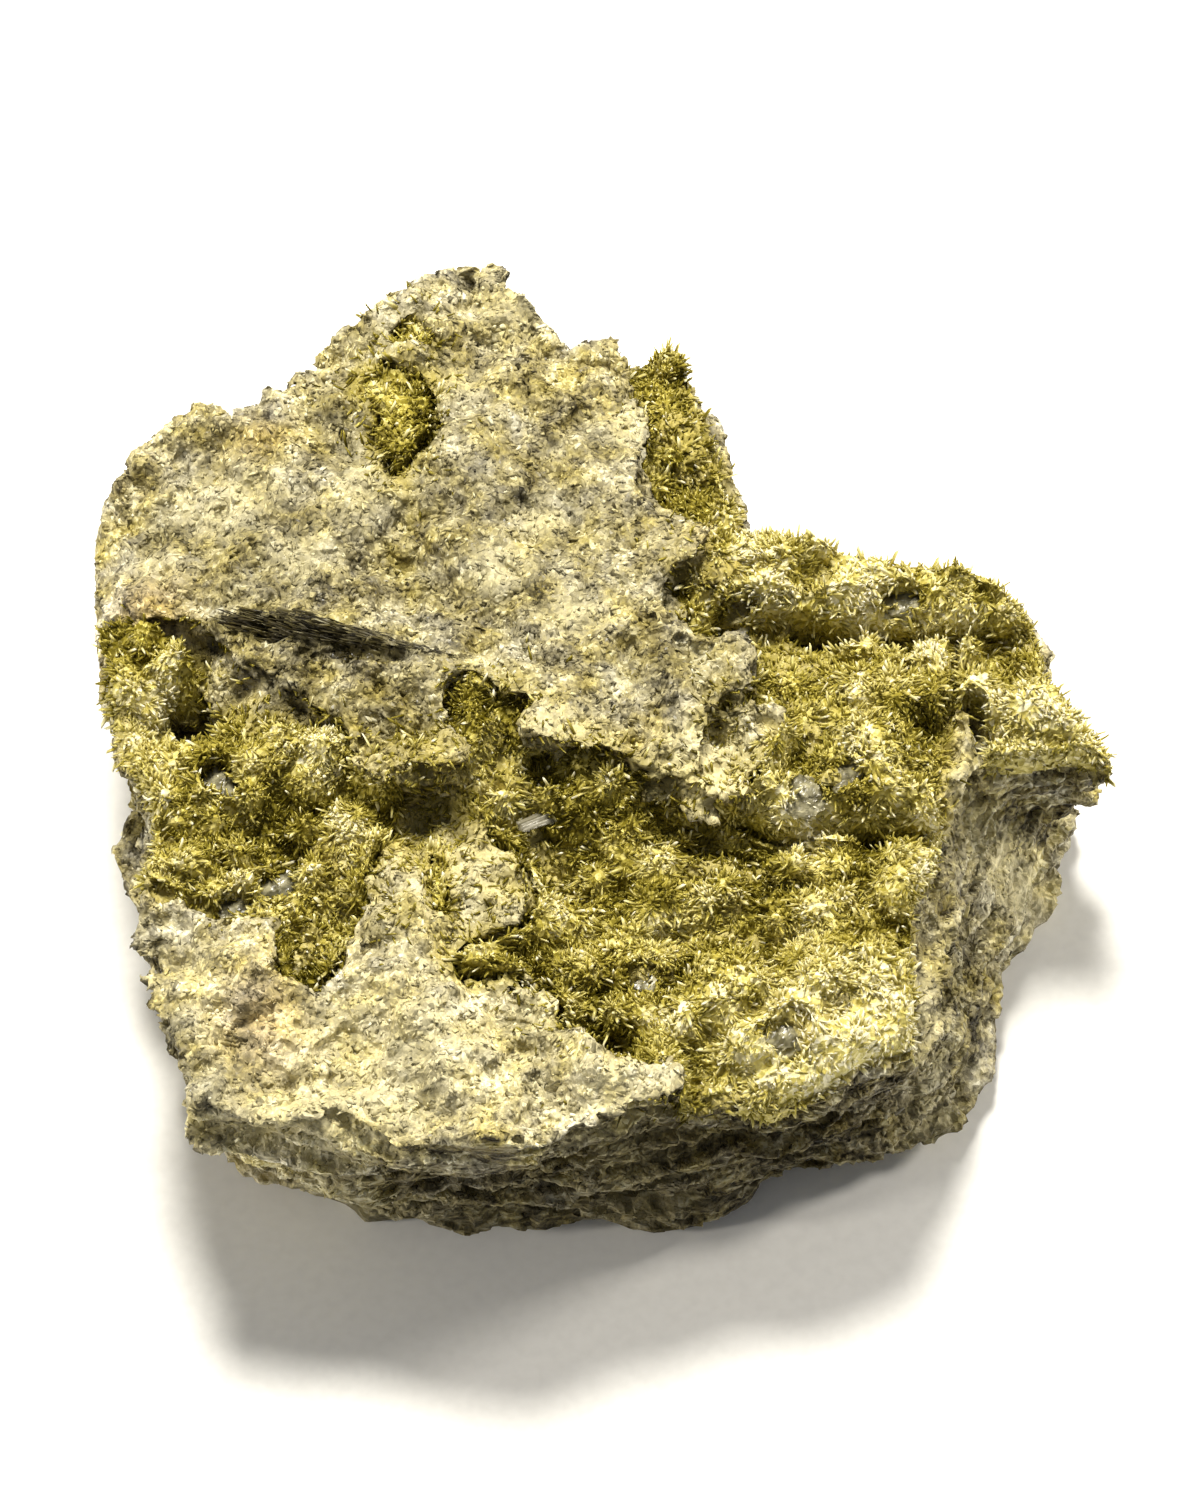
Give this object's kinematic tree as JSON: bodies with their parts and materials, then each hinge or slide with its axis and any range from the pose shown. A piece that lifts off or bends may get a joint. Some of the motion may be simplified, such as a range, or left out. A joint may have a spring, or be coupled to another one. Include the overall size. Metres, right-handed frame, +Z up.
{
  "type": "clinozoisite specimen",
  "caption": "Hand-sized slab of fine-grained grey and cream host rock whose etched upper face is lined with a druse of small olive clinozoisite crystals.",
  "frame": {"origin": "middle of the specimen's footprint, on the surface that it rests on", "axes": "+X along the slab's length, from the left pocket to the right ledge; +Y from the broken front face to the peak at the back; +Z up, away from the flat base, towards the druse"},
  "size_m": [0.1024, 0.0986, 0.0367],
  "materials": {
    "host_rock": "rough, granular",
    "clinozoisite_druse": "glassy needles, sparkling",
    "quartz": "glassy",
    "clinozoisite_blade": "glassy, striated"
  },
  "bodies": {
    "root": {"host_rock": "host_rock", "druse_left_pocket": "clinozoisite_druse", "druse_front_bank": "clinozoisite_druse", "druse_right_mound": "clinozoisite_druse", "druse_upper_bank": "clinozoisite_druse", "druse_top_corner": "clinozoisite_druse", "druse_right_ledge": "clinozoisite_druse", "druse_back_vug": "clinozoisite_druse", "druse_tall_vug": "clinozoisite_druse", "druse_saddle_slot": "clinozoisite_druse", "quartz_left_upper": "quartz", "quartz_left_lower": "quartz", "quartz_left_front": "quartz", "quartz_upper_bank_left": "quartz", "quartz_upper_bank_right": "quartz", "quartz_mound_crest": "quartz", "quartz_mound_front": "quartz", "quartz_front_bank": "quartz", "quartz_front_crest": "quartz", "clinozoisite_blade_centre": "clinozoisite_blade", "clinozoisite_blade_front": "clinozoisite_blade"}
  },
  "joints": []
}
